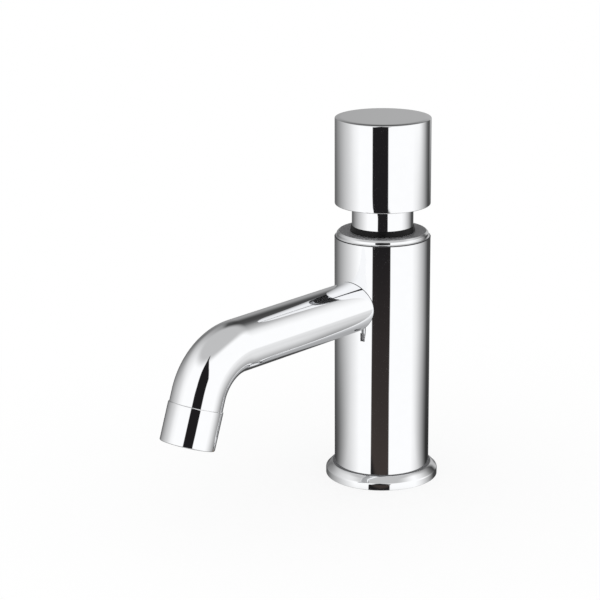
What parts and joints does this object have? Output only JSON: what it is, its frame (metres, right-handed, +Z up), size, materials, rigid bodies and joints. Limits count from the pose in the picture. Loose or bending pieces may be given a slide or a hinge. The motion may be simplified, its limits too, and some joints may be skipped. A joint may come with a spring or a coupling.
{
  "type": "self-closing basin tap",
  "caption": "Deck-mounted cold basin tap with a push button that closes itself, a plain cylinder body, a bent round spout and an aerator.",
  "frame": {"origin": "middle of the deck face, the underside of the base ring", "axes": "+Z up along the body and button, spout along -Y, +X to the right of someone facing the spout from behind the tap's back; the tail runs down -Z"},
  "size_m": [0.051, 0.1584, 0.2161],
  "materials": {
    "chrome": "polished chrome plate on brass",
    "brass": "bare turned brass",
    "steel": "turned stainless steel",
    "rubber": "matt black rubber",
    "plastic": "off-white moulded plastic",
    "black_plastic": "black moulded plastic"
  },
  "bodies": {
    "tap": {"base_ring": "chrome", "body_shell": "chrome", "spout_tube": "chrome", "aerator_collar": "chrome", "bonnet": "chrome", "inlet_tail": "brass", "back_nut": "brass", "spout_nipple": "brass", "valve_seat": "brass", "deck_washer_steel": "steel", "inlet_strainer": "steel", "aerator_screen": "steel", "retaining_ring": "steel", "return_spring": "steel", "timing_screw": "steel", "base_gasket": "rubber", "tail_seal": "rubber", "deck_washer_rubber": "rubber", "spout_o_ring": "rubber", "aerator_washer": "rubber", "bonnet_o_ring": "rubber", "stem_o_ring": "rubber", "cartridge_o_ring_lower": "rubber", "cartridge_o_ring_upper": "rubber", "neck_ring": "rubber", "aerator_insert": "plastic", "guide_bush": "plastic", "cartridge_housing": "plastic", "cartridge_plug": "plastic"},
    "push_button": {"button_cap": "chrome", "button_hub": "brass", "lock_nut": "steel", "guide_ring": "black_plastic", "spindle": "steel", "piston": "plastic", "lip_seal": "rubber", "valve_washer": "rubber", "valve_retainer": "brass"}
  },
  "joints": [
    {"name": "button_press", "type": "slide", "parent": "tap", "child": "push_button", "axis": [0, 0, -1], "range_m": [0, 0.008], "stiffness_N_per_m": 1200, "springref_m": -0.006, "deforming": ["return_spring"]}
  ]
}
